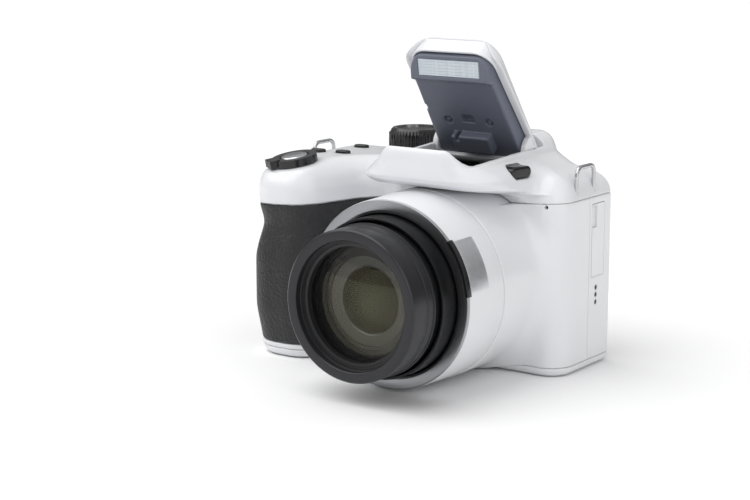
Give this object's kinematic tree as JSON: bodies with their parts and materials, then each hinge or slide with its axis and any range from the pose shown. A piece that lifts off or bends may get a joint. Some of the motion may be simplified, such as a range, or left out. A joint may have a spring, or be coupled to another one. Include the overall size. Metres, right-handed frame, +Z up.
{
  "type": "bridge camera",
  "caption": "White bridge camera with a rubber grip, a telescoping zoom lens, a raised pop-up flash, a mode dial and a rear display.",
  "frame": {"origin": "centre of the tripod socket's mouth, on the underside and below the lens axis", "axes": "+Z up from the base, -Y forward along the lens axis, +X to the picture's right"},
  "size_m": [0.119, 0.1086, 0.1208],
  "materials": {
    "white_abs": "gloss",
    "grip_rubber": "pebbled matte",
    "black_gloss": "gloss",
    "black_matte": "matte",
    "barrel_grey": "satin",
    "brushed_ring": "brushed",
    "bright_trim": "bright",
    "coated_glass": "coated",
    "flash_grey": "satin",
    "flash_diffuser": "prismatic",
    "steel": "plain",
    "brass": "plain",
    "board_green": "plain",
    "display_glass": "clear",
    "display_dark": "gloss"
  },
  "bodies": {
    "body": {"front_shell": "white_abs", "rear_cover": "white_abs", "top_cover": "white_abs", "base_plate": "white_abs", "grip_rubber": "grip_rubber", "thumb_rest": "grip_rubber", "lens_barrel": "white_abs", "name_ring": "brushed_ring", "barrel_trim": "bright_trim", "guide_tube": "black_matte", "rear_group": "black_matte", "sensor_unit": "board_green", "chassis": "steel", "main_board": "board_green", "battery": "black_matte", "battery_case": "black_matte", "flash_capacitor": "black_matte", "speaker": "black_matte", "usb_socket": "steel", "tripod_socket": "brass", "base_screws": "steel", "display_panel": "display_dark", "display_window": "display_glass", "strap_lugs": "steel", "zoom_motor": "steel", "flash_tray": "black_matte", "flash_pin": "steel", "door_pin": "steel"},
    "front_group": {"front_barrel": "barrel_grey", "lens_retainer": "black_matte", "front_lens": "coated_glass", "baffle_ring": "black_matte", "inner_cell": "barrel_grey", "inner_lens": "coated_glass"},
    "middle_group": {"middle_barrel": "black_matte"},
    "cam": {"cam_ring": "black_matte"},
    "drive": {"drive_gear": "brass"},
    "flash_head": {"flash_cover": "white_abs", "flash_housing": "flash_grey", "flash_window": "flash_diffuser", "flash_reflector": "steel", "flash_tube": "flash_diffuser"},
    "flash_release": {"flash_release": "black_gloss"},
    "shutter": {"shutter_button": "black_gloss"},
    "zoom_lever": {"zoom_lever": "black_gloss"},
    "mode_dial": {"mode_dial": "black_gloss", "dial_ring": "bright_trim"},
    "battery_door": {"battery_door": "white_abs"},
    "battery_latch": {"battery_latch": "black_gloss"},
    "port_cover": {"port_cover": "white_abs"},
    "burst_button": {"burst_button": "black_gloss"},
    "focus_button": {"focus_button": "black_gloss"},
    "power_button": {"power_button": "black_gloss"},
    "record_button": {"record_button": "black_gloss"},
    "menu_button": {"menu_button": "black_gloss"},
    "info_button": {"info_button": "black_gloss"},
    "play_button": {"play_button": "black_gloss"},
    "delete_button": {"delete_button": "black_gloss"},
    "nav_ring": {"nav_ring": "black_gloss"},
    "set_button": {"set_button": "black_gloss"}
  },
  "joints": [
    {"name": "zoom_slide", "type": "slide", "parent": "body", "child": "front_group", "axis": [0, -1, 0], "range_m": [-0.021, 0.038]},
    {"name": "middle_slide", "type": "slide", "parent": "body", "child": "middle_group", "axis": [0, -1, 0], "range_m": [-0.0106, 0.0191]},
    {"name": "cam_turn", "type": "hinge", "parent": "body", "child": "cam", "pos_m": [0, 0, 0.0345], "axis": [0, -1, 0], "range_deg": [-47, 84.5]},
    {"name": "drive_turn", "type": "hinge", "parent": "body", "child": "drive", "pos_m": [-0.02528, 0, 0.05571], "axis": [0, -1, 0], "range_deg": [-690, 385]},
    {"name": "flash_hinge", "type": "hinge", "parent": "body", "child": "flash_head", "pos_m": [0, 0.0025, 0.0795], "axis": [1, 0, 0], "range_deg": [0, 55], "stiffness_Nm_per_rad": 0.012, "springref_deg": -34.38},
    {"name": "release_press", "type": "slide", "parent": "body", "child": "flash_release", "axis": [-0.9781, 0.2079, 0], "range_m": [0, 0.0008], "stiffness_N_per_m": 500, "springref_m": -0.0004},
    {"name": "shutter_press", "type": "slide", "parent": "body", "child": "shutter", "axis": [0.0861, 0.1564, -0.9839], "range_m": [0, 0.0012], "stiffness_N_per_m": 500, "springref_m": -0.0004},
    {"name": "lever_turn", "type": "hinge", "parent": "body", "child": "zoom_lever", "pos_m": [-0.0625, -0.033, 0.072], "axis": [-0.0861, -0.1564, 0.9839], "range_deg": [-15, 15], "stiffness_Nm_per_rad": 0.03},
    {"name": "dial_turn", "type": "hinge", "parent": "body", "child": "mode_dial", "pos_m": [-0.036, 0.0096, 0.074], "axis": [0, 0, 1], "continuous": true},
    {"name": "nav_press", "type": "slide", "parent": "body", "child": "nav_ring", "axis": [0, -1, 0], "range_m": [0, 0.0005], "stiffness_N_per_m": 900, "springref_m": -0.0003},
    {"name": "set_press", "type": "slide", "parent": "body", "child": "set_button", "axis": [0, -1, 0], "range_m": [0, 0.0005], "stiffness_N_per_m": 500, "springref_m": -0.0004},
    {"name": "battery_door_hinge", "type": "hinge", "parent": "body", "child": "battery_door", "pos_m": [-0.0416, 0, 0.0016], "axis": [0, -1, 0], "range_deg": [0, 95]},
    {"name": "latch_slide", "type": "slide", "parent": "battery_door", "child": "battery_latch", "axis": [1, 0, 0], "range_m": [0, 0.003]},
    {"name": "port_cover_hinge", "type": "hinge", "parent": "body", "child": "port_cover", "pos_m": [0.0412, 0.0168, 0.0474], "axis": [0, 0, 1], "range_deg": [0, 95]},
    {"name": "burst_press", "type": "slide", "parent": "body", "child": "burst_button", "axis": [0, 0, -1], "range_m": [0, 0.0006], "stiffness_N_per_m": 500, "springref_m": -0.0004},
    {"name": "focus_press", "type": "slide", "parent": "body", "child": "focus_button", "axis": [0, 0, -1], "range_m": [0, 0.0006], "stiffness_N_per_m": 500, "springref_m": -0.0004},
    {"name": "power_press", "type": "slide", "parent": "body", "child": "power_button", "axis": [0, 0, -1], "range_m": [0, 0.0006], "stiffness_N_per_m": 500, "springref_m": -0.0004},
    {"name": "record_press", "type": "slide", "parent": "body", "child": "record_button", "axis": [0, -1, 0], "range_m": [0, 0.0006], "stiffness_N_per_m": 500, "springref_m": -0.0004},
    {"name": "menu_press", "type": "slide", "parent": "body", "child": "menu_button", "axis": [0, -1, 0], "range_m": [0, 0.0006], "stiffness_N_per_m": 500, "springref_m": -0.0004},
    {"name": "info_press", "type": "slide", "parent": "body", "child": "info_button", "axis": [0, -1, 0], "range_m": [0, 0.0006], "stiffness_N_per_m": 500, "springref_m": -0.0004},
    {"name": "play_press", "type": "slide", "parent": "body", "child": "play_button", "axis": [0, -1, 0], "range_m": [0, 0.0006], "stiffness_N_per_m": 500, "springref_m": -0.0004},
    {"name": "delete_press", "type": "slide", "parent": "body", "child": "delete_button", "axis": [0, -1, 0], "range_m": [0, 0.0006], "stiffness_N_per_m": 500, "springref_m": -0.0004}
  ],
  "couplings": [
    {"joint": "middle_slide", "follows": "zoom_slide", "ratio": 0.5},
    {"joint": "cam_turn", "follows": "zoom_slide", "rad_per_m": 38.46},
    {"joint": "drive_turn", "follows": "zoom_slide", "rad_per_m": -314.09}
  ]
}
